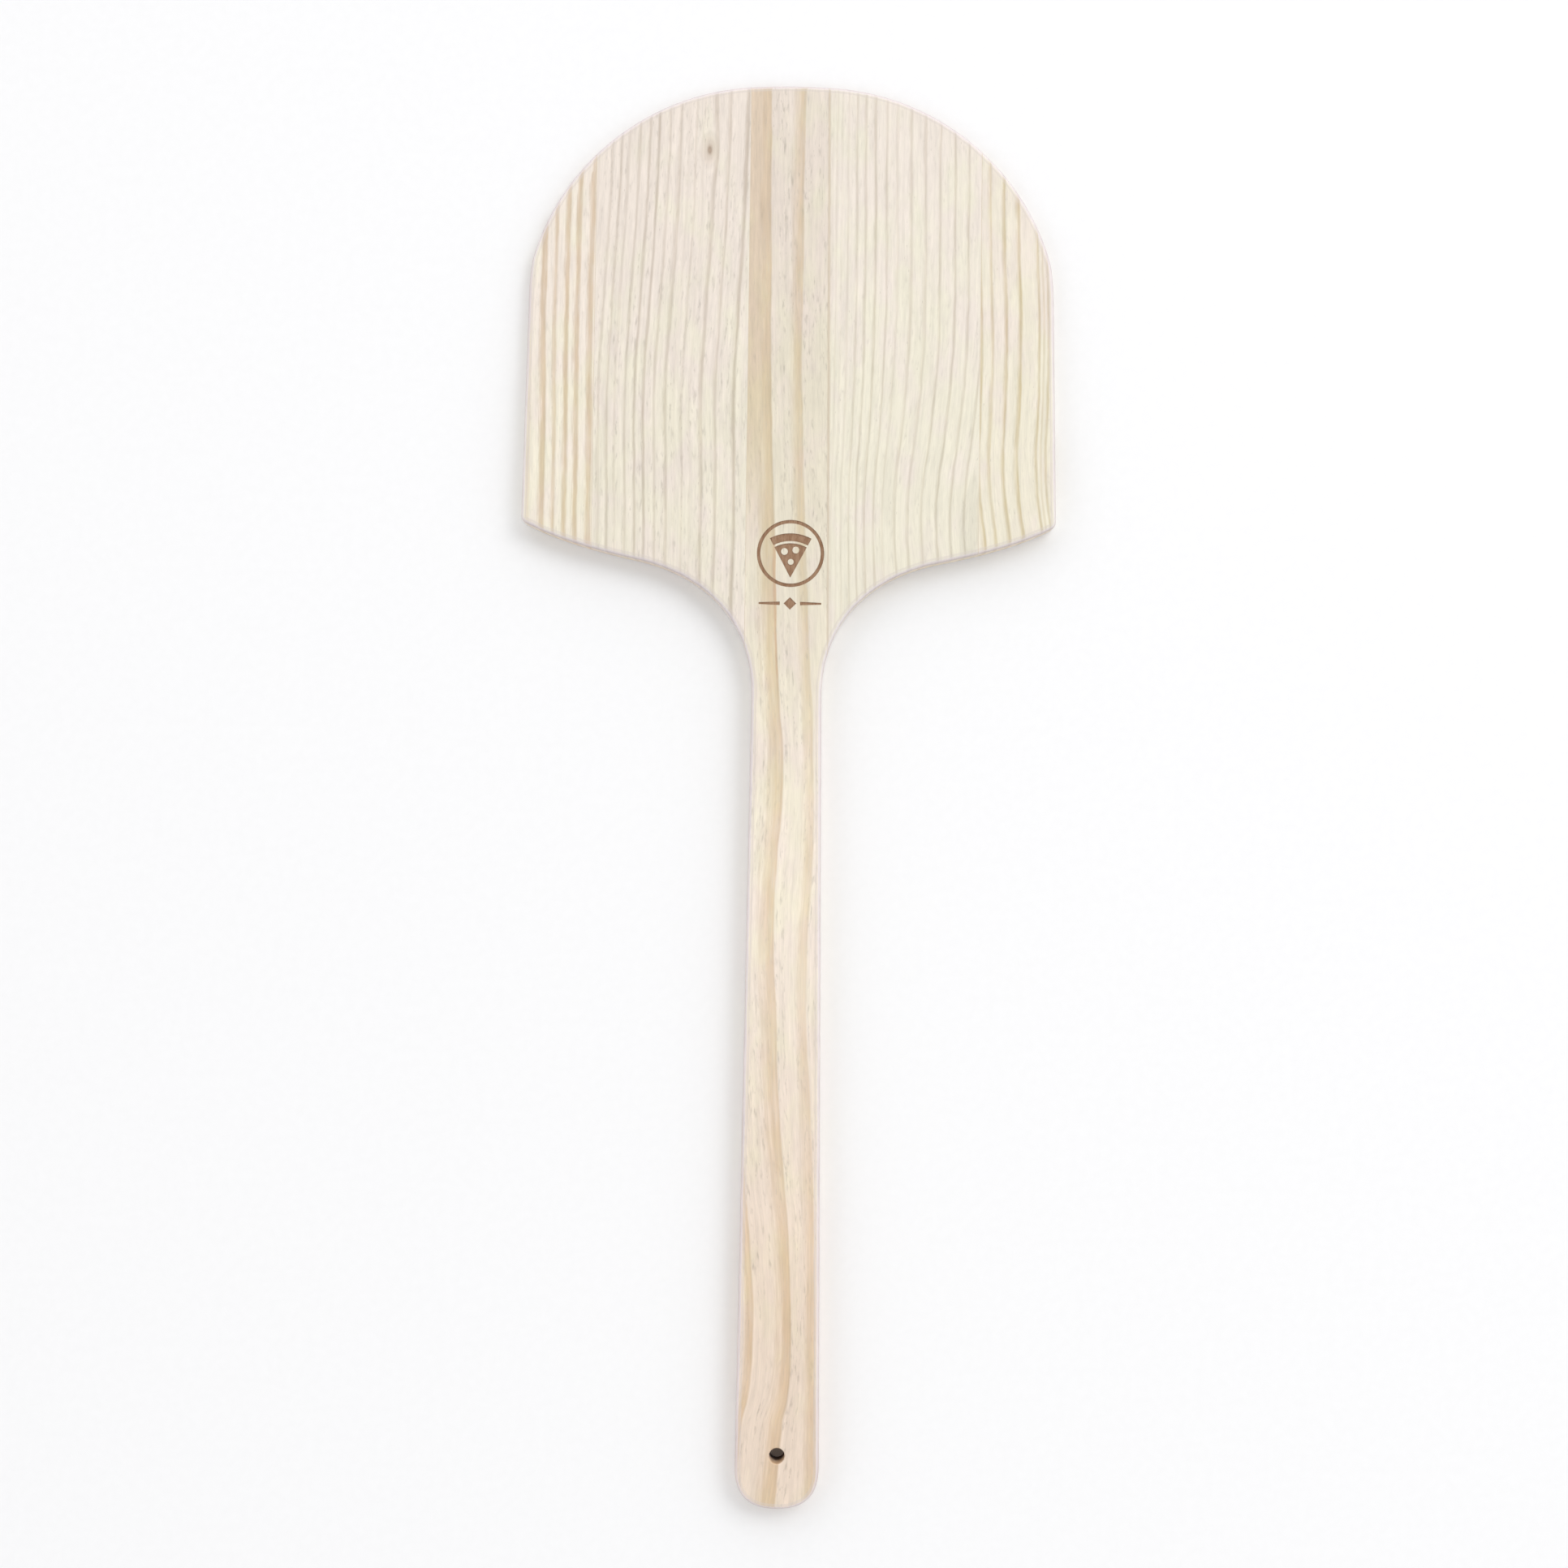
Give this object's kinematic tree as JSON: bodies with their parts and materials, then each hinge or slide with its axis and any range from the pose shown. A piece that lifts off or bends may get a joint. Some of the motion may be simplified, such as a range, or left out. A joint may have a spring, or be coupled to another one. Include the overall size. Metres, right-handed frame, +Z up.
{
  "type": "pizza peel",
  "caption": "Flat wooden pizza peel: a broad round-fronted blade that tapers to a thin leading edge, and a long straight handle with a hanging hole.",
  "frame": {"origin": "under the middle of the board, on the flat underside it lies on", "axes": "+Y from the handle end to the blade tip, +Z up out of the top face, +X to the right seen from above with the blade away from the viewer"},
  "size_m": [0.3428, 0.9144, 0.016],
  "materials": {
    "centre_wood": "sanded, unfinished softwood",
    "left_inner_wood": "sanded, unfinished softwood",
    "right_inner_wood": "sanded, unfinished softwood",
    "left_outer_wood": "sanded, unfinished softwood",
    "right_outer_wood": "sanded, unfinished softwood",
    "glue": "cured wood glue, sanded flush"
  },
  "bodies": {
    "root": {"centre_stave": "centre_wood", "left_inner_stave": "left_inner_wood", "right_inner_stave": "right_inner_wood", "left_outer_stave": "left_outer_wood", "right_outer_stave": "right_outer_wood", "left_inner_glue_line": "glue", "right_inner_glue_line": "glue", "left_outer_glue_line": "glue", "right_outer_glue_line": "glue"}
  },
  "joints": []
}
